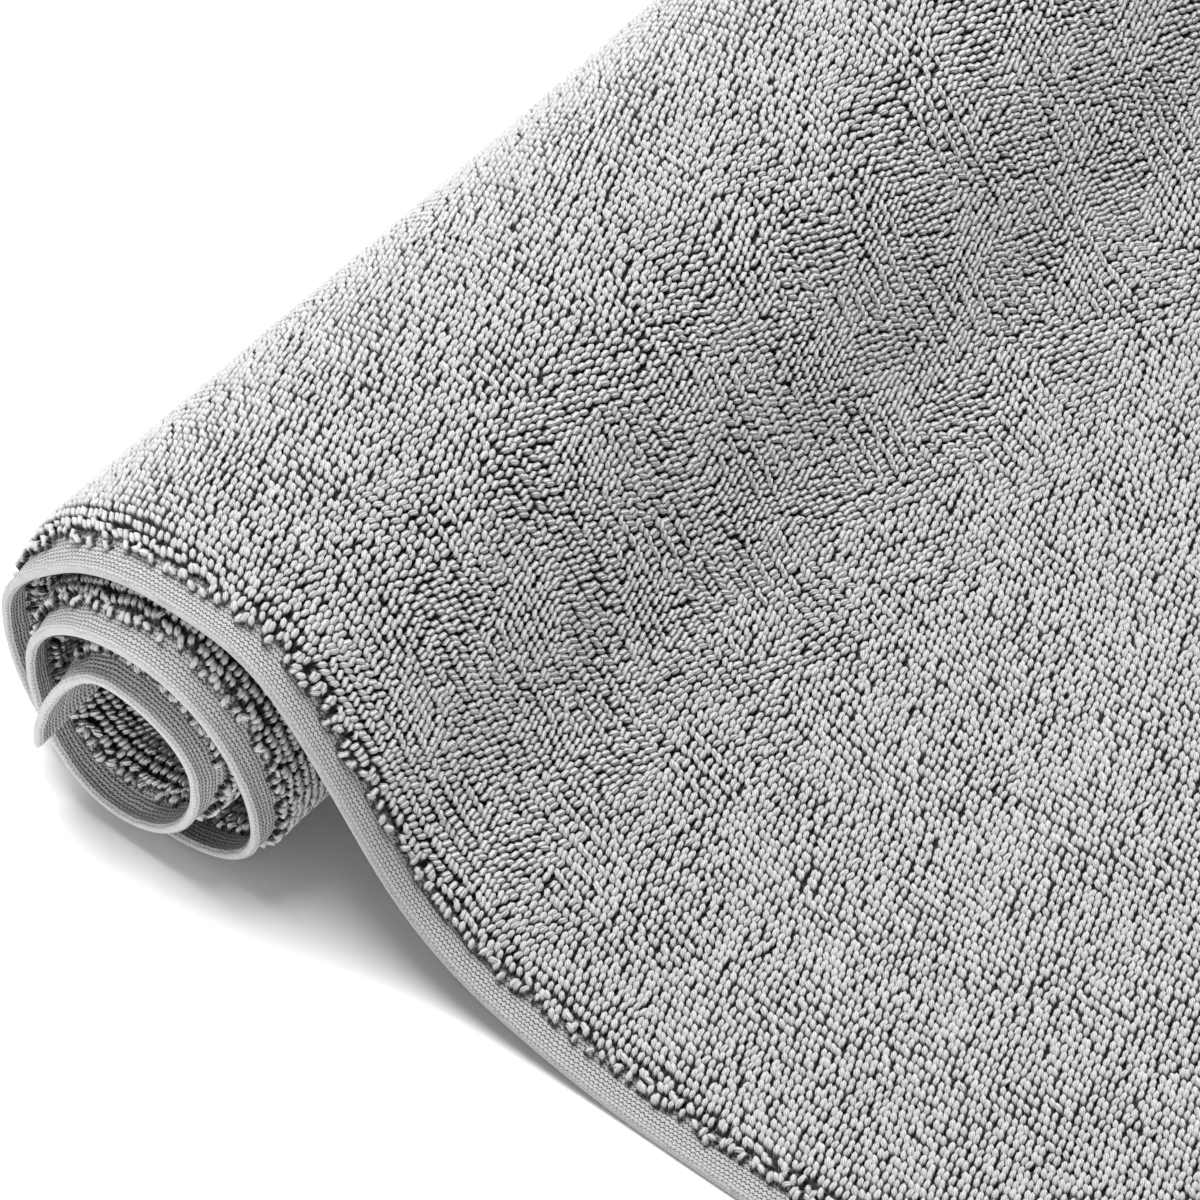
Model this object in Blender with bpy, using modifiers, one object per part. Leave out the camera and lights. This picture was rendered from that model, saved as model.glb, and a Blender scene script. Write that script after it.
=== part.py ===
"""Rolled bath mat: one piece of thick cotton terry, rolled up from one end, with a loose tail.

The mat is a single cloth with loop pile on both faces and a flat hem all round. About two and
a third turns are rolled up; the rest falls from the top of the roll and lies flat. The sheet's
middle surface follows one section curve, and the pile stands on both sides of it, but not on
the hems. Metres, +Z up. X runs along the tail, Y along the roll, and the origin lies on the
surface under the middle of the whole footprint.
"""

import math
from collections import namedtuple

import bmesh
import bpy
import numpy as np

# Cloth sizes
MAT_LENGTH = 0.860
MAT_WIDTH = 0.510
PILE_THICK = 0.0080
HEM_THICK = 0.0026
SIDE_HEM = 0.0075
END_HEM = 0.0220
PILE_SHOULDER = 0.0030

# How the side hems sit: their shift fades out over this distance from the edge
HEM_FADE = 0.0150
FAR_HEM_SHARE = 0.6

# The inner near corner is a stretched ear that stands out of the roll's end
EAR_REACH = 0.034
EAR_SHIFT_X = 0.0015
EAR_SHIFT_Y = -0.0090

# The tail's free end springs up a touch
TAIL_SPRING = 0.0006

# Slow unevenness along the roll, none at the near end
HEIGHT_WAVE = 0.010
LEAN_WAVE = 0.018
WAVE_LENGTH = 0.36

# Mesh steps along the cloth and across it. Columns near a side edge are shares of the hem, or
# distances from the edge
ROLL_STEP = 0.0052
FALL_STEP = 0.0075
FLAT_STEP = 0.022
ACROSS_STEP = 0.075
HEM_COLUMNS = (0.0, 0.35, 0.8, 1.0)
PILE_COLUMNS = (SIDE_HEM + PILE_SHOULDER, 0.018, 0.030)
CURVE_SAMPLES = 60

MM = 0.001

# The section, from the inner end outwards, in mm. x is measured from the roll's lowest line and
# z from the surface, at the middle of the cloth's thickness; heading is the way the cloth runs,
# in degrees above +X. hem_x and hem_z shift the near side hem from there, and slip is how far
# the whole cloth has slid towards the near end in rolling.
Station = namedtuple("Station", "name x z heading hem_x hem_z slip")
SECTION = (
    Station("inner end", -14.5, 31.0, 100, 0.0, -1.0, 12.0),
    Station("third top", 3.0, 61.0, 0, 2.0, -5.5, 11.8),
    Station("third right", 30.5, 38.0, -90, -2.0, 0.0, 12.3),
    Station("second bottom", 1.0, 12.6, -180, 0.0, -4.6, 12.0),
    Station("second left", -28.0, 40.0, -270, 3.0, 0.0, 10.0),
    Station("second top", 8.0, 73.0, -360, 0.0, -5.2, 9.4),
    Station("first right", 43.0, 32.0, -450, -1.0, -3.0, 7.0),
    Station("flat spot right", 7.0, 4.0, -540, 0.0, -1.6, 5.3),
    Station("flat spot left", -8.0, 4.0, -540, 0.0, -1.6, 4.6),
    Station("first left", -39.5, 44.0, -630, 0.0, -2.0, 2.5),
    Station("first shoulder", -26.2, 73.0, -678, 5.0, -3.0, 1.5),
    Station("first top", 6.0, 85.0, -720, 4.0, -3.5, 0.5),
    Station("crown", 32.0, 82.3, -738, 0.0, -3.0, 0.0),
    Station("brow", 45.5, 73.5, -767, 0.0, -3.0, 0.0),
    Station("slope", 63.5, 50.5, -775, 0.0, -3.0, 0.0),
    Station("foot", 81.5, 27.0, -764, 0.0, -2.8, 0.0),
    Station("apron", 97.0, 16.5, -747, 0.0, -2.8, 0.4),
    Station("landing", 129.0, 7.0, -731, 0.0, -2.7, 0.8),
    Station("touch down", 172.0, 4.0, -720, 0.0, -2.7, 1.1),
    Station("resting strip", 212.0, 4.0, -720, 0.0, -2.7, 1.1),
)


def arc_between(start, end, turn):
    """Points of a cubic curve from start to end that bends like an arc of that turn, in degrees."""
    span = max(abs(math.radians(turn)), 1e-3)
    chord = math.hypot(end[0] - start[0], end[1] - start[1])
    handle = chord * (2.0 / 3.0) * math.tan(span / 4.0) / math.sin(span / 2.0)
    leaving = np.array((math.cos(math.radians(start[2])), math.sin(math.radians(start[2]))))
    arriving = np.array((math.cos(math.radians(end[2])), math.sin(math.radians(end[2]))))
    p0 = np.array(start[:2])
    p3 = np.array(end[:2])
    p1 = p0 + handle * leaving
    p2 = p3 - handle * arriving
    t = np.linspace(0.0, 1.0, CURVE_SAMPLES, endpoint=False)[:, None]
    return (1 - t) ** 3 * p0 + 3 * t * (1 - t) ** 2 * p1 + 3 * t ** 2 * (1 - t) * p2 + t ** 3 * p3


def section_curves():
    """Length along the cloth, and there the body's x and z, the hem's shift and the slip."""
    body = []
    hem = []
    slip = []
    for here, after in zip(SECTION, SECTION[1:]):
        turn = after.heading - here.heading
        body.append(arc_between((here.x, here.z, here.heading), (after.x, after.z, after.heading), turn))
        hem.append(arc_between((here.x + here.hem_x, here.z + here.hem_z, here.heading),
                               (after.x + after.hem_x, after.z + after.hem_z, after.heading), turn))
        slip.append(np.linspace(here.slip, after.slip, CURVE_SAMPLES, endpoint=False))
    last = SECTION[-1]
    body = np.vstack(body + [(last.x, last.z)]) * MM
    hem = np.vstack(hem + [(last.x + last.hem_x, last.z + last.hem_z)]) * MM
    slip = np.append(np.concatenate(slip), last.slip) * MM
    along = np.concatenate(([0.0], np.cumsum(np.hypot(*np.diff(body, axis=0).T))))

    # The rest of the cloth runs straight on to its free end
    shift = hem - body
    body = np.vstack((body, body[-1] + (MAT_LENGTH - along[-1], TAIL_SPRING)))
    return np.append(along, MAT_LENGTH), body, np.vstack((shift, shift[-1])), np.append(slip, slip[-1])


def steps(start, end, size):
    """Evenly spaced values from start up to end, about one size apart."""
    return list(np.linspace(start, end, max(2, round((end - start) / size) + 1)))


def length_stations(along):
    """Places of the mesh rows along the cloth, closer where it bends and at the end hems."""
    place = {station.name: along[i * CURVE_SAMPLES] for i, station in enumerate(SECTION)}
    hem_rows = [0.0, END_HEM / 2, END_HEM, END_HEM + PILE_SHOULDER]
    rows = hem_rows + steps(hem_rows[-1] + ROLL_STEP, place["first top"], ROLL_STEP)
    rows += steps(place["first top"], place["touch down"], FALL_STEP)[1:]
    rows += steps(place["touch down"], place["resting strip"], FLAT_STEP)[1:]
    rows += steps(place["resting strip"], MAT_LENGTH - hem_rows[-1], FLAT_STEP)[1:]
    rows += [MAT_LENGTH - row for row in hem_rows[-2::-1]]
    return np.array(rows)


def width_stations():
    """Places of the mesh columns across the cloth, from the near side edge to the far one."""
    near = [share * SIDE_HEM for share in HEM_COLUMNS] + list(PILE_COLUMNS)
    middle = steps(near[-1], MAT_WIDTH - near[-1], ACROSS_STEP)[1:-1]
    return np.array(near + middle + [MAT_WIDTH - column for column in near[::-1]])


def smooth(value):
    """0 below 0, 1 above 1 and an even S between."""
    value = np.clip(value, 0.0, 1.0)
    return value * value * (3.0 - 2.0 * value)


def pile_weight(lengths, widths):
    """1 in the pile and 0 in the hems, as an array [row, column]."""
    side = np.minimum(widths, MAT_WIDTH - widths)[None, :]
    end = np.minimum(lengths, MAT_LENGTH - lengths)[:, None]
    return smooth((side - SIDE_HEM) / PILE_SHOULDER) * smooth((end - END_HEM) / PILE_SHOULDER)


def cloth_points(lengths, widths):
    """The middle surface as an array [row, column] of points; x is from the roll's lowest line."""
    along, body, shift, slip = section_curves()
    here = [np.interp(lengths, along, values)[:, None] for values in (*body.T, *shift.T, slip)]
    body_x, body_z, hem_x, hem_z, slid = here
    across = widths[None, :]

    # Side hems sit lower and further in than the pile, and the corner of the inner end stands out
    near_pull = 1.0 - smooth(across / HEM_FADE)
    far_pull = FAR_HEM_SHARE * (1.0 - smooth((MAT_WIDTH - across) / HEM_FADE))
    pull = near_pull + far_pull
    ear = 1.0 - smooth(np.hypot(lengths[:, None], across) / EAR_REACH)
    x = body_x + hem_x * pull + EAR_SHIFT_X * ear
    y = across - slid + EAR_SHIFT_Y * ear
    z = body_z + hem_z * pull

    # The roll swells and leans a little along its length
    phase = 2.0 * math.pi * across / WAVE_LENGTH
    raised = np.maximum(z - PILE_THICK / 2, 0.0)
    z = z + raised * HEIGHT_WAVE * np.sin(phase)
    x = x + raised * LEAN_WAVE * (1.0 - np.cos(phase))

    # The tail's end hem sinks as low as its side hems, and nothing reaches below the surface
    tail_hem = (1.0 - smooth((MAT_LENGTH - lengths - END_HEM) / PILE_SHOULDER)[:, None]) * (1.0 - pull)
    half = (HEM_THICK + (PILE_THICK - HEM_THICK) * pile_weight(lengths, widths)) / 2
    z = np.maximum(z - tail_hem * (PILE_THICK - HEM_THICK) / 2, half)
    return np.stack((x, y, z), axis=-1)


def terry_material():
    """Light cool grey cotton."""
    material = bpy.data.materials.new("grey_terry")
    material.use_nodes = True
    shader = material.node_tree.nodes["Principled BSDF"]
    shader.inputs["Base Color"].default_value = (0.43, 0.44, 0.435, 1.0)
    shader.inputs["Roughness"].default_value = 0.9
    shader.inputs["Metallic"].default_value = 0.0
    return material


def build_mat(collection):
    """The whole cloth: a grid laid along the section, thickened on both sides."""
    lengths = length_stations(section_curves()[0])
    widths = width_stations()
    points = cloth_points(lengths, widths)
    back = points[..., 0].min() - PILE_THICK / 2
    middle_x = (back + points[..., 0].max()) / 2
    middle_y = (points[..., 1].min() + points[..., 1].max()) / 2
    points -= (middle_x, middle_y, 0.0)

    weights = pile_weight(lengths, widths)
    grid = bmesh.new()
    rows = len(lengths)
    columns = len(widths)
    bmesh.ops.create_grid(grid, x_segments=rows - 1, y_segments=columns - 1, size=0.5)
    pile = grid.verts.layers.deform.verify()
    for vertex in grid.verts:
        row = round((vertex.co.x + 0.5) * (rows - 1))
        column = round((vertex.co.y + 0.5) * (columns - 1))
        vertex.co = points[row, column]
        vertex[pile][0] = float(weights[row, column])
    mesh = bpy.data.meshes.new("bath_mat")
    grid.to_mesh(mesh)
    grid.free()
    mesh.shade_smooth()
    mesh.materials.append(terry_material())

    mat = bpy.data.objects.new("bath_mat", mesh)
    collection.objects.link(mat)
    mat.vertex_groups.new(name="pile")
    thicken = mat.modifiers.new("pile thickness", "SOLIDIFY")
    thicken.thickness = PILE_THICK
    thicken.offset = 0.0
    thicken.vertex_group = "pile"
    thicken.thickness_vertex_group = HEM_THICK / PILE_THICK
    return mat


for old in list(bpy.data.objects):
    bpy.data.objects.remove(old, do_unlink=True)

parts = bpy.data.collections.new("rolled_bath_mat")
bpy.context.scene.collection.children.link(parts)
build_mat(parts)
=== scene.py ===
"""Looks of the rolled bath mat: the woven cloth with its hems, and the loop pile on both faces.

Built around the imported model, in metres, +Z up. X runs along the loose tail and Y along the
roll, as in the model. The sections follow the mat as it is made and laid down.
"""

import math
from collections import namedtuple

import bmesh
import bpy
import numpy as np
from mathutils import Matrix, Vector


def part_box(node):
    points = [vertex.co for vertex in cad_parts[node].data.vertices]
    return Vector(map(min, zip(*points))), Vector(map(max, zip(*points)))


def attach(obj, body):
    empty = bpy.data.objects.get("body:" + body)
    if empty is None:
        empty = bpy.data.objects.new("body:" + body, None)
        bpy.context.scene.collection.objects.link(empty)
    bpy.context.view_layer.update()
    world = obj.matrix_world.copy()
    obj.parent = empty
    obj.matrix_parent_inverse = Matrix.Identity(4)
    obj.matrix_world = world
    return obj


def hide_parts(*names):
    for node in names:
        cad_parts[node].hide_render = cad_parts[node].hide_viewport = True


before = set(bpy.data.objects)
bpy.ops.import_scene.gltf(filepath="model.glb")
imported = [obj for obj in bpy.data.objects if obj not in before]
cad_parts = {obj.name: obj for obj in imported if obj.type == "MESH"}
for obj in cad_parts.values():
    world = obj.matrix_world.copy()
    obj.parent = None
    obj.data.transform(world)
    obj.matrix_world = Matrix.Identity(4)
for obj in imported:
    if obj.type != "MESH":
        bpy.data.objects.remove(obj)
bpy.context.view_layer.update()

MM = 0.001


# Camera: a long lens that looks half down on the near end of the roll, from the tail's side.

CAMERA_PLACE = Vector((0.5831, -0.9776, 1.3116))
CAMERA_AIM = Vector((-0.1123, -0.1311, 0.0060))
LENS_MM = 210.0
SENSOR_MM = 36.0

camera_data = bpy.data.cameras.new("camera")
camera_data.lens = LENS_MM
camera_data.sensor_width = SENSOR_MM
camera = bpy.data.objects.new("camera", camera_data)
camera.location = CAMERA_PLACE
camera.rotation_euler = (CAMERA_AIM - CAMERA_PLACE).to_track_quat("-Z", "Y").to_euler()
bpy.context.scene.collection.objects.link(camera)
bpy.context.scene.camera = camera


# How the mat lies: one cloth, rolled up two and a third turns from its inner end, with the rest
# fallen from the top of the roll and flat on the floor. Every place on it is a length from the
# inner end and a width from the near side edge.

MAT_LENGTH = 0.860
MAT_WIDTH = 0.510
PILE_HALF = 0.0040
HEM_HALF = 0.0013
SIDE_HEM = 0.0075
END_HEM = 0.0220
PILE_SHOULDER = 0.0030
HEM_FADE = 0.0150
FAR_HEM_SHARE = 0.6
EAR_REACH = 0.034
EAR_SHIFT_X = 0.0015
EAR_SHIFT_Y = -0.0090
TAIL_SPRING = 0.0006
HEIGHT_WAVE = 0.010
LEAN_WAVE = 0.018
WAVE_LENGTH = 0.36
CURVE_SAMPLES = 60

# The section in mm and degrees, from the inner end outwards: x from the roll's lowest line, z of
# the cloth's middle, the near side hem's shift from it, and the slip towards the near end
Station = namedtuple("Station", "name x z heading hem_x hem_z slip")
SECTION = (
    Station("inner end", -14.5, 31.0, 100, 0.0, -1.0, 12.0),
    Station("third top", 3.0, 61.0, 0, 2.0, -5.5, 11.8),
    Station("third right", 30.5, 38.0, -90, -2.0, 0.0, 12.3),
    Station("second bottom", 1.0, 12.6, -180, 0.0, -4.6, 12.0),
    Station("second left", -28.0, 40.0, -270, 3.0, 0.0, 10.0),
    Station("second top", 8.0, 73.0, -360, 0.0, -5.2, 9.4),
    Station("first right", 43.0, 32.0, -450, -1.0, -3.0, 7.0),
    Station("flat spot right", 7.0, 4.0, -540, 0.0, -1.6, 5.3),
    Station("flat spot left", -8.0, 4.0, -540, 0.0, -1.6, 4.6),
    Station("first left", -39.5, 44.0, -630, 0.0, -2.0, 2.5),
    Station("first shoulder", -26.2, 73.0, -678, 5.0, -3.0, 1.5),
    Station("first top", 6.0, 85.0, -720, 4.0, -3.5, 0.5),
    Station("crown", 32.0, 82.3, -738, 0.0, -3.0, 0.0),
    Station("brow", 45.5, 73.5, -767, 0.0, -3.0, 0.0),
    Station("slope", 63.5, 50.5, -775, 0.0, -3.0, 0.0),
    Station("foot", 81.5, 27.0, -764, 0.0, -2.8, 0.0),
    Station("apron", 97.0, 16.5, -747, 0.0, -2.8, 0.4),
    Station("landing", 129.0, 7.0, -731, 0.0, -2.7, 0.8),
    Station("touch down", 172.0, 4.0, -720, 0.0, -2.7, 1.1),
    Station("resting strip", 212.0, 4.0, -720, 0.0, -2.7, 1.1),
)


def smooth(value):
    """0 below 0, 1 above 1 and an even S between."""
    value = np.clip(value, 0.0, 1.0)
    return value * value * (3.0 - 2.0 * value)


def unit(vectors):
    """The same directions at length 1."""
    return vectors / np.linalg.norm(vectors, axis=-1, keepdims=True)


def arc_between(start, end, turn):
    """Points of a cubic curve from start to end that bends like an arc of that turn, in degrees."""
    span = max(abs(math.radians(turn)), 1e-3)
    chord = math.hypot(end[0] - start[0], end[1] - start[1])
    handle = chord * (2.0 / 3.0) * math.tan(span / 4.0) / math.sin(span / 2.0)
    leaving = np.array((math.cos(math.radians(start[2])), math.sin(math.radians(start[2]))))
    arriving = np.array((math.cos(math.radians(end[2])), math.sin(math.radians(end[2]))))
    p0 = np.array(start[:2])
    p3 = np.array(end[:2])
    p1 = p0 + handle * leaving
    p2 = p3 - handle * arriving
    t = np.linspace(0.0, 1.0, CURVE_SAMPLES, endpoint=False)[:, None]
    return (1 - t) ** 3 * p0 + 3 * t * (1 - t) ** 2 * p1 + 3 * t ** 2 * (1 - t) * p2 + t ** 3 * p3


def section_curves():
    """Length along the cloth, and there the body's x and z, the hem's shift and the slip."""
    body = []
    hem = []
    slip = []
    for here, after in zip(SECTION, SECTION[1:]):
        turn = after.heading - here.heading
        body.append(arc_between((here.x, here.z, here.heading), (after.x, after.z, after.heading), turn))
        hem.append(arc_between((here.x + here.hem_x, here.z + here.hem_z, here.heading),
                               (after.x + after.hem_x, after.z + after.hem_z, after.heading), turn))
        slip.append(np.linspace(here.slip, after.slip, CURVE_SAMPLES, endpoint=False))
    last = SECTION[-1]
    body = np.vstack(body + [(last.x, last.z)]) * MM
    hem = np.vstack(hem + [(last.x + last.hem_x, last.z + last.hem_z)]) * MM
    slip = np.append(np.concatenate(slip), last.slip) * MM
    along = np.concatenate(([0.0], np.cumsum(np.hypot(*np.diff(body, axis=0).T))))
    shift = hem - body
    body = np.vstack((body, body[-1] + (MAT_LENGTH - along[-1], TAIL_SPRING)))
    return np.append(along, MAT_LENGTH), body, np.vstack((shift, shift[-1])), np.append(slip, slip[-1])


ALONG, BODY, HEM_SHIFT, SLIP = section_curves()
PLACE = {station.name: ALONG[i * CURVE_SAMPLES] for i, station in enumerate(SECTION)}
CENTRE_X = BODY[-1, 0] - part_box("bath_mat")[1][0]
CENTRE_Y = MAT_WIDTH / 2 - 0.0105


def pile_weight(lengths, widths):
    """1 in the pile and 0 in the hems."""
    side = np.minimum(widths, MAT_WIDTH - widths)
    end = np.minimum(lengths, MAT_LENGTH - lengths)
    return smooth((side - SIDE_HEM) / PILE_SHOULDER) * smooth((end - END_HEM) / PILE_SHOULDER)


def cloth_middle(lengths, widths):
    """Points on the cloth's middle surface, in the model's frame."""
    values = [np.interp(lengths, ALONG, column) for column in (*BODY.T, *HEM_SHIFT.T, SLIP)]
    body_x, body_z, hem_x, hem_z, slid = values
    near_pull = 1.0 - smooth(widths / HEM_FADE)
    far_pull = FAR_HEM_SHARE * (1.0 - smooth((MAT_WIDTH - widths) / HEM_FADE))
    pull = near_pull + far_pull
    ear = 1.0 - smooth(np.hypot(lengths, widths) / EAR_REACH)
    x = body_x + hem_x * pull + EAR_SHIFT_X * ear
    y = widths - slid + EAR_SHIFT_Y * ear
    z = body_z + hem_z * pull

    phase = 2.0 * math.pi * widths / WAVE_LENGTH
    raised = np.maximum(z - PILE_HALF, 0.0)
    z = z + raised * HEIGHT_WAVE * np.sin(phase)
    x = x + raised * LEAN_WAVE * (1.0 - np.cos(phase))

    tail_hem = (1.0 - smooth((MAT_LENGTH - lengths - END_HEM) / PILE_SHOULDER)) * (1.0 - pull)
    half = HEM_HALF + (PILE_HALF - HEM_HALF) * pile_weight(lengths, widths)
    z = np.maximum(z - tail_hem * (PILE_HALF - HEM_HALF), half)
    return np.stack((x - CENTRE_X, y - CENTRE_Y, z), axis=-1)


def cloth_frame(lengths, widths):
    """Points of the middle surface, and there the ways along, across and outward."""
    step = 0.0006
    point = cloth_middle(lengths, widths)
    along = cloth_middle(lengths + step, widths) - cloth_middle(lengths - step, widths)
    across = cloth_middle(lengths, widths + step) - cloth_middle(lengths, widths - step)
    return point, unit(along), unit(across), unit(np.cross(along, across))


# Where the pile is seen. From each length on, loops stand in from both side edges up to this
# depth, on the outer and on the inner face. Further in, the cloth only touches its next turn or
# the floor, and its surface lies at the pile's height.

Seen = namedtuple("Seen", "length outer inner")
ALL = MAT_WIDTH
SEEN = (
    Seen(0.0, 0.022, 0.046),
    Seen(PLACE["second left"], 0.022, 0.020),
    Seen(PLACE["second top"], 0.030, 0.020),
    Seen(PLACE["flat spot right"], 0.022, 0.020),
    Seen(PLACE["flat spot left"], ALL, 0.020),
    Seen(PLACE["first top"] - 0.01, ALL, 0.032),
    Seen(PLACE["touch down"] - 0.01, ALL, 0.0),
)
SEEN_FADE = 0.004


def seen_depth(lengths, face):
    """How far in from the side edges loops stand, on face 1, the outer one, or -1, the inner one."""
    row = np.searchsorted([seen.length for seen in SEEN], lengths, side="right") - 1
    return np.array([seen.outer if face > 0 else seen.inner for seen in SEEN])[row]


# Woven cloth: a cotton ground weave that carries the loops, turned in and stitched flat at the
# hems. It is one closed sheet, and it stands in for the model's own solid.

GROUND_HALF = 0.0016
BARE_HALF = 0.0037
ROLL_ROWS = 0.0030
FALL_ROWS = 0.0050
FLAT_ROWS = 0.0120
ACROSS_COLUMNS = 0.018

# Half the hem's thickness at shares of its width from the folded edge: a firm roll of cloth along
# the fold, a flat woven band, and a dip at the seam
HEM_PROFILE = ((0.00, 0.00050), (0.05, 0.00105), (0.13, 0.00140), (0.24, 0.00135), (0.34, 0.00108),
               (0.60, 0.00115), (0.82, 0.00112), (0.92, 0.00080), (1.00, 0.00110), (1.40, GROUND_HALF))


def steps(start, end, size):
    """Evenly spaced values from start up to end, about one size apart."""
    return list(np.linspace(start, end, max(2, round((end - start) / size) + 1)))


def cloth_rows():
    """Places of the mesh rows along the cloth."""
    hem = [0.0, 0.0006, 0.0014, 0.0026, 0.006, 0.012, 0.018, END_HEM, END_HEM + PILE_SHOULDER]
    rows = hem + steps(hem[-1], PLACE["first top"], ROLL_ROWS)[1:]
    rows += steps(rows[-1], PLACE["touch down"], FALL_ROWS)[1:]
    rows += steps(rows[-1], MAT_LENGTH - hem[-1], FLAT_ROWS)[1:]
    return np.array(rows + [MAT_LENGTH - row for row in hem[-2::-1]])


def cloth_columns():
    """Places of the mesh columns across the cloth, close together in the side hems."""
    near = [share * SIDE_HEM for share, _ in HEM_PROFILE] + [0.013, 0.0175, 0.0225, 0.028, 0.036, 0.046]
    middle = steps(near[-1], MAT_WIDTH - near[-1], ACROSS_COLUMNS)[1:-1]
    return np.array(near + middle + [MAT_WIDTH - column for column in near[::-1]])


def hem_half(lengths, widths):
    """Half the thickness of the hem, which is folded along all four edges."""
    shares, halves = np.array(HEM_PROFILE).T
    side = np.minimum(widths, MAT_WIDTH - widths) / SIDE_HEM
    end = np.minimum(lengths, MAT_LENGTH - lengths) / SIDE_HEM
    fold = np.interp(np.minimum(side, end), shares, halves)
    return fold


def face_half(lengths, widths, face):
    """How far the woven cloth's surface lies from its middle, on one face."""
    side = np.minimum(widths, MAT_WIDTH - widths)
    looped = 1.0 - smooth((side - seen_depth(lengths, face)) / SEEN_FADE)
    pile = BARE_HALF + (GROUND_HALF - BARE_HALF) * looped
    hem = hem_half(lengths, widths)
    return hem + (pile - np.minimum(hem, GROUND_HALF)) * pile_weight(lengths, widths)


def woven_mesh():
    """Outer and inner surface as two grids, joined round the edge."""
    rows = cloth_rows()
    columns = cloth_columns()
    lengths, widths = np.meshgrid(rows, columns, indexing="ij")
    point, along, across, outward = cloth_frame(lengths, widths)
    surfaces = [point + face * outward * face_half(lengths, widths, face)[..., None] for face in (1, -1)]
    places = np.concatenate([surface.reshape(-1, 3) for surface in surfaces])
    places[:, 2] = np.maximum(places[:, 2], 0.0)

    index = np.arange(len(places)).reshape(2, len(rows), len(columns))
    faces = []
    for layer, order in ((index[0], 1), (index[1], -1)):
        corners = (layer[:-1, :-1], layer[1:, :-1], layer[1:, 1:], layer[:-1, 1:])
        faces.append(np.stack([corner.ravel() for corner in corners[::order]], axis=-1))
    edge = [np.concatenate((layer[:-1, 0], layer[-1, :-1], layer[:0:-1, -1], layer[0, :0:-1])) for layer in index]
    faces.append(np.stack((edge[0], edge[1], np.roll(edge[1], -1), np.roll(edge[0], -1)), axis=-1))
    mesh = bpy.data.meshes.new("mat_cloth")
    mesh.from_pydata(places, [], np.concatenate(faces))

    # Each point's length, width and face, which the weave follows
    where = mesh.attributes.new("where", "FLOAT_VECTOR", "POINT")
    layer = np.repeat((1.0, -1.0), lengths.size)
    values = np.stack((np.tile(lengths.ravel(), 2), np.tile(widths.ravel(), 2), layer), axis=-1)
    where.data.foreach_set("vector", values.ravel())
    # Where the hem lies, how near its folded edge, and where the cloth hides under loops; the last two set the
    # weave's painted shade
    side = np.minimum(widths, MAT_WIDTH - widths)
    end = np.minimum(lengths, MAT_LENGTH - lengths)
    pile = pile_weight(lengths, widths)
    fold = 1.0 - smooth((np.minimum(side, end) - 0.0009) / 0.0008)
    looped = [pile * (1.0 - smooth((side - seen_depth(lengths, face)) / SEEN_FADE)) for face in (1, -1)]
    for label, both in (("hem", [1.0 - pile] * 2), ("fold", [fold] * 2), ("looped", looped)):
        values = np.concatenate([value.ravel() for value in both])
        mesh.attributes.new(label, "FLOAT", "POINT").data.foreach_set("value", values)
    mesh.shade_smooth()
    return mesh


# Cotton: a soft matt yarn in a light cool grey. Fibres and crossings are painted darker where they lie
# deep, as painted shade, and every yarn has a slightly different tone.

COTTON = (0.402, 0.407, 0.404, 1.0)
# The woven cloth's cotton is the loops' yarn set darker: painted shade that damps the light its flat faces catch
SHADED_HEM_COTTON = (0.305, 0.310, 0.307, 1.0)


def group_socket(tree, name, kind, way="INPUT", value=None):
    """A named socket on a node group."""
    socket = tree.interface.new_socket(name=name, in_out=way, socket_type=kind)
    if value is not None:
        socket.default_value = value
    return socket


def node(tree, kind, label="", **settings):
    """A new node with its properties set."""
    made = tree.nodes.new(kind)
    made.label = label
    for name, value in settings.items():
        setattr(made, name, value)
    return made


def feed(tree, target, *sources):
    """Joins outputs, or gives plain values, to a node's inputs in order; None leaves one alone."""
    for socket, source in zip(target.inputs, sources):
        if source is None:
            continue
        if isinstance(source, bpy.types.NodeSocket):
            tree.links.new(source, socket)
        else:
            socket.default_value = source
    return target


def math_node(tree, operation, *sources):
    """The result of a math node."""
    return feed(tree, node(tree, "ShaderNodeMath", operation=operation), *sources).outputs[0]


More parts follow.
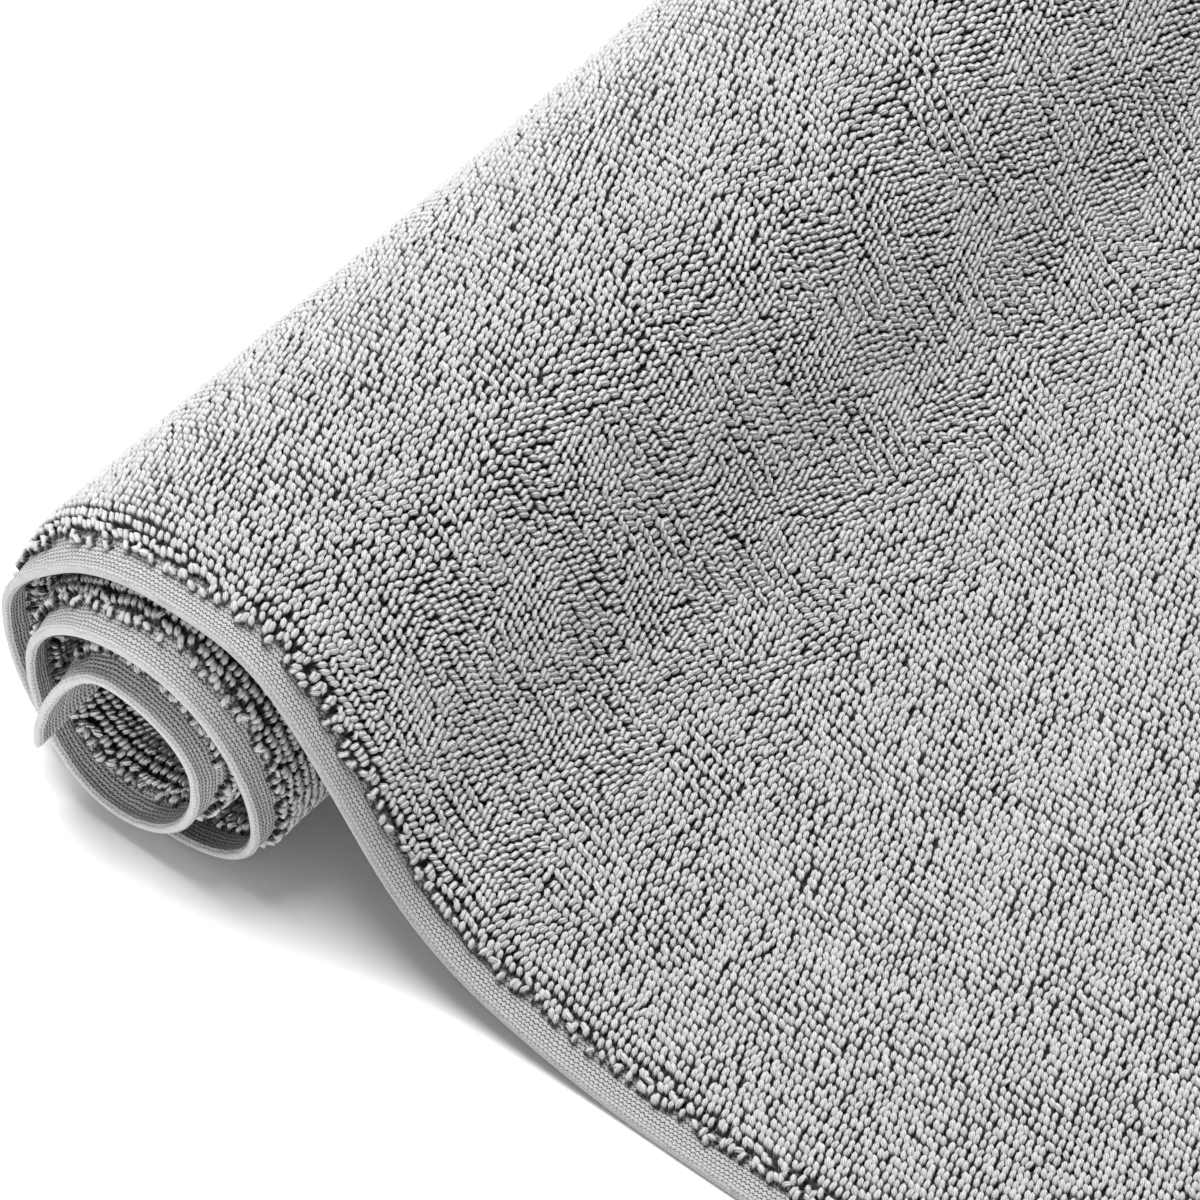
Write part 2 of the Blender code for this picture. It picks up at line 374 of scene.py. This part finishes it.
def cotton_group():
    """Colour and height of cotton, from its own tone and from how high it lies, with painted shade where it lies
    deep.
    """
    tree = bpy.data.node_groups.new("cotton", "ShaderNodeTree")
    group_socket(tree, "Colour", "NodeSocketColor", value=COTTON)
    group_socket(tree, "Rise", "NodeSocketFloat", value=1.0)
    group_socket(tree, "Tone", "NodeSocketFloat", value=0.5)
    group_socket(tree, "Tone Range", "NodeSocketFloat", value=0.16)
    group_socket(tree, "Fibre Scale", "NodeSocketFloat", value=2600.0)
    group_socket(tree, "Shaded Deep Share", "NodeSocketFloat", value=0.012)
    group_socket(tree, "Deep Rise", "NodeSocketFloat", value=0.33)
    group_socket(tree, "High Rise", "NodeSocketFloat", value=0.84)
    group_socket(tree, "Colour", "NodeSocketColor", "OUTPUT")
    group_socket(tree, "Fibre", "NodeSocketFloat", "OUTPUT")
    inlet = node(tree, "NodeGroupInput")
    outlet = node(tree, "NodeGroupOutput")
    colour, rise, tone, tone_range, fibre_scale, shaded_deep_share, deep_rise, high_rise = inlet.outputs[:8]

    place = node(tree, "ShaderNodeTexCoord").outputs["Object"]
    fibre = node(tree, "ShaderNodeTexNoise", "fibres")
    tree.links.new(place, fibre.inputs["Vector"])
    tree.links.new(fibre_scale, fibre.inputs["Scale"])
    fibre.inputs["Detail"].default_value = 2.0

    # Painted shade: the colour falls to the shaded deep share where the cotton lies deep
    painted_shade_ramp = node(tree, "ShaderNodeMapRange", "painted shade, deep to high", interpolation_type="SMOOTHSTEP")
    feed(tree, painted_shade_ramp, rise, deep_rise, high_rise, shaded_deep_share, 1.0)
    middle = math_node(tree, "SUBTRACT", tone, 0.5)
    own = math_node(tree, "MULTIPLY_ADD", middle, tone_range, 1.0)
    fleck = math_node(tree, "MULTIPLY_ADD", fibre.outputs[0], 0.24, 0.88)
    share = math_node(tree, "MULTIPLY", math_node(tree, "MULTIPLY", own, fleck), painted_shade_ramp.outputs[0])
    paint = node(tree, "ShaderNodeVectorMath", operation="SCALE")
    tree.links.new(colour, paint.inputs[0])
    tree.links.new(share, paint.inputs["Scale"])
    tree.links.new(paint.outputs[0], outlet.inputs["Colour"])
    tree.links.new(fibre.outputs[0], outlet.inputs["Fibre"])
    return tree


cotton = cotton_group()


def cotton_material(name, roughness, sheen):
    """A new material with the cotton group placed in it: the material, its tree, group and shader."""
    material = bpy.data.materials.new(name)
    material.use_nodes = True
    tree = material.node_tree
    shader = tree.nodes["Principled BSDF"]
    shader.inputs["Roughness"].default_value = roughness
    shader.inputs["Sheen Weight"].default_value = sheen
    shader.inputs["Sheen Roughness"].default_value = 0.6
    shader.inputs["Specular IOR Level"].default_value = 0.25
    group = node(tree, "ShaderNodeGroup", node_tree=cotton)
    tree.links.new(group.outputs["Colour"], shader.inputs["Base Color"])
    return material, tree, group, shader


def attribute(tree, name):
    """An attribute node's outputs."""
    return node(tree, "ShaderNodeAttribute", attribute_name=name).outputs


def bump(tree, shader, height, distance, strength=1.0):
    """Gives the shader a bump of that height, in metres."""
    made = node(tree, "ShaderNodeBump")
    made.inputs["Strength"].default_value = strength
    made.inputs["Distance"].default_value = distance
    tree.links.new(height, made.inputs["Height"])
    tree.links.new(made.outputs["Normal"], shader.inputs["Normal"])


# Weave of the hems: ribs of warp that run along the mat, with short gaps between them where
# the weft dives under, offset from one gap to the next, and painted dark there as painted shade.
# The faces that only touch another turn have shallow loops in place of it, with painted shade between them.

RIB_PITCH = 0.00102
WEFT_PITCH = 0.00125
BARE_ROW = 0.0024
BARE_LOOP = 0.0018


def wave(tree, turns):
    """1 at every whole number of turns and 0 half way between."""
    angle = math_node(tree, "MULTIPLY", turns, 2.0 * math.pi)
    return math_node(tree, "MULTIPLY_ADD", math_node(tree, "COSINE", angle), 0.5, 0.5)


def ribs(tree, lengths, widths, rib_pitch, weft_pitch):
    """1 on the ribs, down to 0 in the short gaps between them."""
    rib = math_node(tree, "DIVIDE", widths, rib_pitch)
    step = math_node(tree, "MULTIPLY", math_node(tree, "FLOOR", rib), 0.5)
    weft = math_node(tree, "ADD", math_node(tree, "DIVIDE", lengths, weft_pitch), step)
    valley = wave(tree, rib)
    gap = wave(tree, weft)
    dashes = math_node(tree, "MULTIPLY_ADD", math_node(tree, "POWER", gap, 1.1), 0.92, 0.08)
    depth = math_node(tree, "MULTIPLY", math_node(tree, "POWER", valley, 0.9), dashes)
    return math_node(tree, "SUBTRACT", 1.0, depth)


def woven_material():
    """The ground weave with its hems, painted darker in its gaps as painted shade."""
    material, tree, group, shader = cotton_material("woven_cotton", roughness=0.88, sheen=0.15)
    where = node(tree, "ShaderNodeSeparateXYZ")
    tree.links.new(attribute(tree, "where")["Vector"], where.inputs[0])
    lengths, widths, _ = where.outputs
    hem = attribute(tree, "hem")["Fac"]
    fold = attribute(tree, "fold")["Fac"]

    wander = node(tree, "ShaderNodeTexNoise", "uneven threads")
    tree.links.new(node(tree, "ShaderNodeTexCoord").outputs["Object"], wander.inputs["Vector"])
    wander.inputs["Scale"].default_value = 260.0
    wander_parts = node(tree, "ShaderNodeSeparateColor")
    tree.links.new(wander.outputs["Color"], wander_parts.inputs[0])
    shifted = math_node(tree, "MULTIPLY_ADD", wander_parts.outputs[0], 0.0011, widths)
    strayed = math_node(tree, "MULTIPLY_ADD", wander_parts.outputs[1], 0.0014, lengths)
    weave = ribs(tree, strayed, shifted, RIB_PITCH, WEFT_PITCH)
    bare = ribs(tree, lengths, widths, BARE_ROW, BARE_LOOP)
    height = node(tree, "ShaderNodeMix", "hem or bare pile")
    feed(tree, height, hem, None, bare, weave)
    looped = attribute(tree, "looped")["Fac"]
    # Painted shade: less on the folded edge, which paints it lighter, and more where loops lie over the cloth
    least = math_node(tree, "MULTIPLY_ADD", fold, 0.35, 0.08)
    high = math_node(tree, "MULTIPLY_ADD", height.outputs[0], 0.80, least)
    rise = math_node(tree, "MULTIPLY", high, math_node(tree, "MULTIPLY_ADD", looped, -0.75, 1.0))
    tree.links.new(rise, group.inputs["Rise"])
    group.inputs["Fibre Scale"].default_value = 1500.0
    group.inputs["Colour"].default_value = SHADED_HEM_COTTON
    group.inputs["Deep Rise"].default_value = 0.20
    group.inputs["High Rise"].default_value = 0.78
    bump(tree, shader, height.outputs[0], 0.00035)
    return material


mat_cloth = bpy.data.objects.new("mat_cloth", woven_mesh())
mat_cloth.data.materials.append(woven_material())
bpy.context.scene.collection.objects.link(mat_cloth)
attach(mat_cloth, "root")
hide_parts("bath_mat")


# Loop pile: two-ply cotton loops, in rows that run along the mat, about 1.8 mm apart in the row
# and 2.4 mm from row to row, on both faces. Those that the camera takes in have a round yarn;
# the others are plain grains of the same size.

LOOP_PITCH = 0.0018
ROW_PITCH = 0.0024
YARN_RADIUS = 0.00078
LOOP_SPAN = 0.00225
LOOP_TOP = PILE_HALF
LOOP_ROOT = 0.0012
FLAT_TURN = 116.0
FALL_TURN = 95.0
FALL_TURN_STEP = 34.0
TUFT_EDGE = 0.0030
BEAD_RISE = 0.67
PICTURE_MARGIN = 1.0
BORDER_SCATTER = 0.06
random = np.random.default_rng(11)


def drift(lengths, widths, pitch, seed):
    """A smooth field between about -1 and 1 with hills of that pitch, all over the cloth."""
    waves = np.random.default_rng(seed)
    total = np.zeros_like(lengths)
    for _ in range(7):
        angle = waves.uniform(0.0, math.pi)
        length = pitch * waves.uniform(0.7, 1.6)
        phase = waves.uniform(0.0, 2.0 * math.pi)
        run = lengths * math.cos(angle) + widths * math.sin(angle)
        total += np.sin(2.0 * math.pi * run / length + phase)
    return np.tanh(total / 1.9)


def in_picture(points, margins):
    """True where the camera's frame, widened by each point's margin, takes it in."""
    view = np.array(camera.matrix_basis.inverted())
    local = points @ view[:3, :3].T + view[:3, 3]
    reach = margins * 0.5 * SENSOR_MM / LENS_MM
    return (np.abs(local[:, 0]) < -local[:, 2] * reach) & (np.abs(local[:, 1]) < -local[:, 2] * reach)


def loop_places(face):
    """Length and width of every loop that shows on one face."""
    rows = np.arange(SIDE_HEM + 0.0006, MAT_WIDTH - SIDE_HEM, ROW_PITCH)
    picks = np.arange(END_HEM + 0.0012, MAT_LENGTH - END_HEM, LOOP_PITCH)
    lengths, widths = np.meshgrid(picks, rows, indexing="ij")
    lengths = lengths + 0.5 * LOOP_PITCH * (np.arange(len(rows)) % 2)
    lengths = lengths + random.normal(0.0, 0.00015, lengths.shape)
    widths = widths + random.normal(0.0, 0.00012, widths.shape)
    lengths = lengths.ravel()
    widths = widths.ravel()
    side = np.minimum(widths, MAT_WIDTH - widths)
    kept = side < seen_depth(lengths, face) + SEEN_FADE
    tuft = (side - SIDE_HEM) / TUFT_EDGE
    kept &= random.random(len(side)) < 0.6 + tuft
    parity = np.where(np.tile(np.arange(len(rows)) % 2, len(picks)) > 0, 1.0, -1.0)
    return lengths[kept], widths[kept], parity[kept]


def loop_cloud(name, face, lengths, widths, parity):
    """A mesh of bare points, one for each loop, with how it stands as attributes."""
    point, along, across, outward = cloth_frame(lengths, widths)
    stand = outward * face
    falling = smooth((PLACE["landing"] - lengths) / 0.05) * smooth((lengths - PLACE["first top"]) / 0.05)
    swirl = drift(lengths, widths, 0.024, 3 + face)
    chevron = parity * (0.55 + 0.45 * drift(lengths, widths, 0.030, 41 + face))
    degrees = FLAT_TURN + (FALL_TURN - FLAT_TURN) * falling + swirl * (9.0 + 17.0 * falling)
    degrees = degrees + chevron * FALL_TURN_STEP * (0.25 + 0.75 * falling)
    turn = np.radians(degrees) + random.normal(0.0, 0.15, len(lengths))
    edge = 1.0 - smooth((np.minimum(widths, MAT_WIDTH - widths) - SIDE_HEM) / (2 * TUFT_EDGE))
    turn = turn + edge * random.normal(0.0, 0.5, len(lengths))
    lean_along = 0.14 * drift(lengths, widths, 0.031, 17 + face) + random.normal(0.0, 0.06, len(lengths))
    lean_across = 0.14 * drift(lengths, widths, 0.027, 29 + face) + random.normal(0.0, 0.06, len(lengths))
    lean_along = lean_along + edge * random.normal(0.0, 0.25, len(lengths))
    lean_across = lean_across + edge * random.normal(0.0, 0.25, len(lengths))
    run = along * np.cos(turn)[:, None] + across * np.sin(turn)[:, None]
    stand = unit(stand + along * lean_along[:, None] + across * lean_across[:, None])
    # A loop that leans under the floor is pressed up to it
    point[:, 2] += np.maximum(-point[:, 2] - stand[:, 2] * LOOP_TOP, 0.0)

    mesh = bpy.data.meshes.new(name)
    mesh.from_pydata(point, [], [])
    for label, values in (("stand", stand), ("run", run)):
        mesh.attributes.new(label, "FLOAT_VECTOR", "POINT").data.foreach_set("vector", values.ravel())
    cloud = bpy.data.objects.new(name, mesh)
    bpy.context.scene.collection.objects.link(cloud)
    return cloud


def loops_tree():
    """Puts one yarn loop on each point: a bent tube with its legs in the cloth."""
    tree = bpy.data.node_groups.new("terry loops", "GeometryNodeTree")
    group_socket(tree, "Points", "NodeSocketGeometry")
    group_socket(tree, "Yarn Radius", "NodeSocketFloat", value=YARN_RADIUS)
    group_socket(tree, "Span", "NodeSocketFloat", value=LOOP_SPAN)
    group_socket(tree, "Top", "NodeSocketFloat", value=LOOP_TOP)
    group_socket(tree, "Root", "NodeSocketFloat", value=LOOP_ROOT)
    group_socket(tree, "Bends", "NodeSocketInt", value=3)
    group_socket(tree, "Sides", "NodeSocketInt", value=4)
    group_socket(tree, "Root Share", "NodeSocketFloat", value=0.55)
    group_socket(tree, "Bead Rise", "NodeSocketFloat", value=BEAD_RISE)
    group_socket(tree, "Plain", "NodeSocketBool", value=False)
    group_socket(tree, "Size Range", "NodeSocketFloat", value=0.10)
    group_socket(tree, "Seed", "NodeSocketInt", value=5)
    group_socket(tree, "Yarn", "NodeSocketMaterial")
    group_socket(tree, "Pile", "NodeSocketGeometry", "OUTPUT")
    inlet = node(tree, "NodeGroupInput")
    outlet = node(tree, "NodeGroupOutput")
    points, radius, span, top, root, bends, sides = inlet.outputs[:7]
    root_share, bead_rise, plain, size_range, seed, yarn = inlet.outputs[7:13]

    # The loop's middle line: up from one root, over and down to the other
    half = math_node(tree, "MULTIPLY", span, 0.5)
    crest = math_node(tree, "SUBTRACT", top, radius)
    rise = math_node(tree, "SUBTRACT", crest, root)
    pull = math_node(tree, "MULTIPLY_ADD", rise, 4.0 / 3.0, root)
    line = node(tree, "GeometryNodeCurvePrimitiveBezierSegment", mode="POSITION")
    tree.links.new(bends, line.inputs["Resolution"])
    for name, side_share, height in (("Start", -1.0, root), ("Start Handle", -1.25, pull),
                                     ("End Handle", 1.25, pull), ("End", 1.0, root)):
        corner = node(tree, "ShaderNodeCombineXYZ")
        tree.links.new(math_node(tree, "MULTIPLY", half, side_share), corner.inputs["X"])
        tree.links.new(height, corner.inputs["Z"])
        tree.links.new(corner.outputs[0], line.inputs[name])

    # Each ring keeps its direction round the yarn, for the twist of the plies
    ring = node(tree, "GeometryNodeCurvePrimitiveCircle", mode="RADIUS")
    tree.links.new(sides, ring.inputs["Resolution"])
    tree.links.new(radius, ring.inputs["Radius"])
    place = node(tree, "GeometryNodeInputPosition")
    around = node(tree, "ShaderNodeVectorMath", operation="NORMALIZE")
    tree.links.new(place.outputs[0], around.inputs[0])
    ring_kept = node(tree, "GeometryNodeStoreNamedAttribute", data_type="FLOAT_VECTOR", domain="POINT")
    feed(tree, ring_kept, ring.outputs[0], True, "around", around.outputs[0])
    travel = node(tree, "GeometryNodeSplineParameter")
    line_kept = node(tree, "GeometryNodeStoreNamedAttribute", data_type="FLOAT", domain="POINT")
    feed(tree, line_kept, line.outputs[0], True, "travel", travel.outputs["Factor"])
    # The yarn is thickest at the top of the loop and drawn in at its roots
    away = math_node(tree, "MULTIPLY_ADD", travel.outputs["Factor"], 2.0, -1.0)
    far = math_node(tree, "POWER", math_node(tree, "ABSOLUTE", away), 2.5)
    drawn = node(tree, "ShaderNodeMix")
    feed(tree, drawn, far, None, 1.0, root_share)
    thinned = node(tree, "GeometryNodeSetCurveRadius")
    tree.links.new(line_kept.outputs[0], thinned.inputs["Curve"])
    tree.links.new(drawn.outputs[0], thinned.inputs["Radius"])
    tube = node(tree, "GeometryNodeCurveToMesh")
    tree.links.new(thinned.outputs[0], tube.inputs["Curve"])
    tree.links.new(ring_kept.outputs[0], tube.inputs["Profile Curve"])
    tube.inputs["Fill Caps"].default_value = True

    # The plain grain: a diamond bead as long, wide and high as the loop's crest
    bead = node(tree, "GeometryNodeMeshUVSphere")
    feed(tree, bead, 4, 2, 1.0)
    girth = node(tree, "ShaderNodeCombineXYZ")
    tree.links.new(math_node(tree, "MULTIPLY_ADD", span, 0.42, radius), girth.inputs["X"])
    tree.links.new(math_node(tree, "MULTIPLY", radius, 1.15), girth.inputs["Y"])
    tree.links.new(math_node(tree, "MULTIPLY", rise, 0.9), girth.inputs["Z"])
    lift = node(tree, "ShaderNodeCombineXYZ")
    tree.links.new(math_node(tree, "MULTIPLY_ADD", rise, -0.9, top), lift.inputs["Z"])
    grain = node(tree, "GeometryNodeTransform")
    tree.links.new(bead.outputs[0], grain.inputs["Geometry"])
    tree.links.new(lift.outputs[0], grain.inputs["Translation"])
    tree.links.new(girth.outputs[0], grain.inputs["Scale"])
    chosen = node(tree, "GeometryNodeSwitch", input_type="GEOMETRY")
    feed(tree, chosen, plain, tube.outputs[0], grain.outputs[0])
    soft = feed(tree, node(tree, "GeometryNodeSetShadeSmooth"), chosen.outputs[0])
    height = node(tree, "ShaderNodeSeparateXYZ")
    tree.links.new(place.outputs[0], height.inputs[0])
    # A bead has no legs, so its widest ring counts as high as the flank of a loop, and gets as much painted shade
    bead_half = math_node(tree, "MULTIPLY", rise, 0.9)
    reach = math_node(tree, "DIVIDE", bead_half, math_node(tree, "SUBTRACT", 1.0, bead_rise))
    lowest = node(tree, "GeometryNodeSwitch", input_type="FLOAT")
    feed(tree, lowest, plain, root, math_node(tree, "SUBTRACT", top, reach))
    # The rise, 0 at the roots and 1 at the crest, sets the yarn's painted shade
    risen = node(tree, "ShaderNodeMapRange")
    feed(tree, risen, height.outputs["Z"], lowest.outputs[0], top, 0.0, 1.0)
    loop = node(tree, "GeometryNodeStoreNamedAttribute", data_type="FLOAT", domain="POINT")
    feed(tree, loop, soft.outputs[0], True, "rise", risen.outputs[0])

    # One loop on each point, turned and leant as its attributes say
    stand = node(tree, "GeometryNodeInputNamedAttribute", data_type="FLOAT_VECTOR")
    stand.inputs["Name"].default_value = "stand"
    run = node(tree, "GeometryNodeInputNamedAttribute", data_type="FLOAT_VECTOR")
    run.inputs["Name"].default_value = "run"
    pose = node(tree, "FunctionNodeAxesToRotation", primary_axis="Z", secondary_axis="X")
    feed(tree, pose, stand.outputs[0], run.outputs[0])
    size = node(tree, "FunctionNodeRandomValue", data_type="FLOAT")
    smallest = math_node(tree, "SUBTRACT", 1.0, size_range)
    largest = math_node(tree, "ADD", 1.0, size_range)
    tree.links.new(smallest, size.inputs[2])
    tree.links.new(largest, size.inputs[3])
    tree.links.new(seed, size.inputs["Seed"])
    fullness = node(tree, "ShaderNodeCombineXYZ")
    feed(tree, fullness, size.outputs[1], size.outputs[1], 1.0)
    placed = node(tree, "GeometryNodeInstanceOnPoints")
    tree.links.new(points, placed.inputs["Points"])
    tree.links.new(loop.outputs[0], placed.inputs["Instance"])
    tree.links.new(pose.outputs[0], placed.inputs["Rotation"])
    tree.links.new(fullness.outputs[0], placed.inputs["Scale"])
    tone = node(tree, "FunctionNodeRandomValue", data_type="FLOAT")
    tree.links.new(math_node(tree, "ADD", seed, 1.0), tone.inputs["Seed"])
    toned = node(tree, "GeometryNodeStoreNamedAttribute", data_type="FLOAT", domain="INSTANCE")
    feed(tree, toned, placed.outputs[0], True, "tone", tone.outputs[1])
    real = feed(tree, node(tree, "GeometryNodeRealizeInstances"), toned.outputs[0])
    dressed = node(tree, "GeometryNodeSetMaterial")
    tree.links.new(real.outputs[0], dressed.inputs["Geometry"])
    tree.links.new(yarn, dressed.inputs["Material"])
    tree.links.new(dressed.outputs[0], outlet.inputs[0])
    return tree


def yarn_material():
    """Two-ply cotton: the plies wind round the yarn, and its colour is painted darker towards its root as painted
    shade.
    """
    material, tree, group, shader = cotton_material("cotton_loops", roughness=0.9, sheen=0.25)
    around = node(tree, "ShaderNodeSeparateXYZ")
    tree.links.new(attribute(tree, "around")["Vector"], around.inputs[0])
    angle = math_node(tree, "ARCTAN2", around.outputs["Y"], around.outputs["X"])
    travel = math_node(tree, "MULTIPLY", attribute(tree, "travel")["Fac"], 5.0)
    ply = math_node(tree, "SINE", math_node(tree, "MULTIPLY_ADD", angle, 4.0, travel))
    tree.links.new(attribute(tree, "rise")["Fac"], group.inputs["Rise"])
    tree.links.new(attribute(tree, "tone")["Fac"], group.inputs["Tone"])
    height = math_node(tree, "MULTIPLY_ADD", group.outputs["Fibre"], 0.3, ply)
    bump(tree, shader, height, 0.00012)
    return material


LOOPS = loops_tree()
YARN = yarn_material()


def grow_pile(cloud, **sizes):
    """Runs the loop tree on a cloud of points and keeps the result as a plain mesh."""
    grown = cloud.modifiers.new("loops", "NODES")
    grown.node_group = LOOPS
    for socket in LOOPS.interface.items_tree:
        key = socket.name.replace(" ", "_").lower()
        if socket.in_out == "INPUT" and key in sizes:
            grown[socket.identifier] = sizes[key]
    shown = cloud.evaluated_get(bpy.context.evaluated_depsgraph_get())
    mesh = bpy.data.meshes.new_from_object(shown)
    cloud.modifiers.clear()
    bare = cloud.data
    cloud.data = mesh
    bpy.data.meshes.remove(bare)
    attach(cloud, "root")
    return cloud


FINE_PIECE_LOOPS = 7000
PLAIN_PIECE_LOOPS = 22000
ROLL_END_DEPTH = 0.034
for face, side_name in ((1, "outer"), (-1, "inner")):
    lengths, widths, parity = loop_places(face)
    point, along, across, outward = cloth_frame(lengths, widths)
    # The cloth's own weight leaves no loops standing where they have no room over the floor
    room = point[:, 2] + face * outward[:, 2] * LOOP_TOP > -0.0001
    lengths, widths, parity, point, outward = (values[room] for values in (lengths, widths, parity, point, outward))
    towards = unit(np.array(CAMERA_PLACE) - point)
    # The border between the two kinds is scattered, so that it draws no line on the cloth
    scatter = random.random(len(lengths))
    facing = (outward * face * towards).sum(axis=1) > -0.26 + 0.2 * scatter
    outside = (lengths > PLACE["flat spot left"]) | (widths < ROLL_END_DEPTH)
    close = in_picture(point, PICTURE_MARGIN + BORDER_SCATTER * scatter) & facing & outside
    for fine, mask in ((True, close), (False, ~close)):
        order = np.flatnonzero(mask)
        each = FINE_PIECE_LOOPS if fine else PLAIN_PIECE_LOOPS
        for number, part in enumerate(np.array_split(order, max(1, math.ceil(len(order) / each)))):
            name = f"pile_{side_name}_{'fine' if fine else 'plain'}_{number + 1}"
            cloud = loop_cloud(name, face, lengths[part], widths[part], parity[part])
            grow_pile(cloud, yarn=YARN, seed=5 + number, plain=not fine)


# Floor and light: a plain pale floor, a soft light from above, a little from the roll's back, and
# a low one that reaches into the end of the roll and hardly touches the floor.

FLOOR_SIZE = 8.0
floor_mesh = bpy.data.meshes.new("floor")
shape = bmesh.new()
bmesh.ops.create_grid(shape, x_segments=1, y_segments=1, size=FLOOR_SIZE / 2)
bmesh.ops.translate(shape, verts=shape.verts, vec=(0.0, 0.0, -0.0002))
shape.to_mesh(floor_mesh)
shape.free()
floor = bpy.data.objects.new("floor", floor_mesh)
pale = bpy.data.materials.new("pale_floor")
pale.use_nodes = True
pale.node_tree.nodes["Principled BSDF"].inputs["Base Color"].default_value = (0.92, 0.925, 0.93, 1.0)
pale.node_tree.nodes["Principled BSDF"].inputs["Roughness"].default_value = 0.9
floor_mesh.materials.append(pale)
bpy.context.scene.collection.objects.link(floor)


def set_light(name, kind, place, aim, power, **shape):
    """A light of that kind, turned to its aim."""
    data = bpy.data.lights.new(name, kind)
    data.energy = power
    for key, value in shape.items():
        setattr(data, key, value)
    lamp = bpy.data.objects.new(name, data)
    lamp.location = place
    lamp.rotation_euler = (Vector(aim) - Vector(place)).to_track_quat("-Z", "Y").to_euler()
    bpy.context.scene.collection.objects.link(lamp)


set_light("overhead", "AREA", (-0.60, 0.25, 2.2), (-0.05, 0.0, 0.0), 114.0, size=1.5)
set_light("low fill", "SPOT", (0.47, -1.6, 0.13), (-0.165, -0.25, 0.045), 190.0,
          spot_size=math.radians(4.6), spot_blend=1.0, shadow_soft_size=0.06)
world = bpy.data.worlds.new("studio")
world.use_nodes = True
world.node_tree.nodes["Background"].inputs["Color"].default_value = (1.0, 1.0, 1.0, 1.0)
world.node_tree.nodes["Background"].inputs["Strength"].default_value = 0.50
bpy.context.scene.world = world
bpy.context.scene.view_settings.view_transform = "Standard"
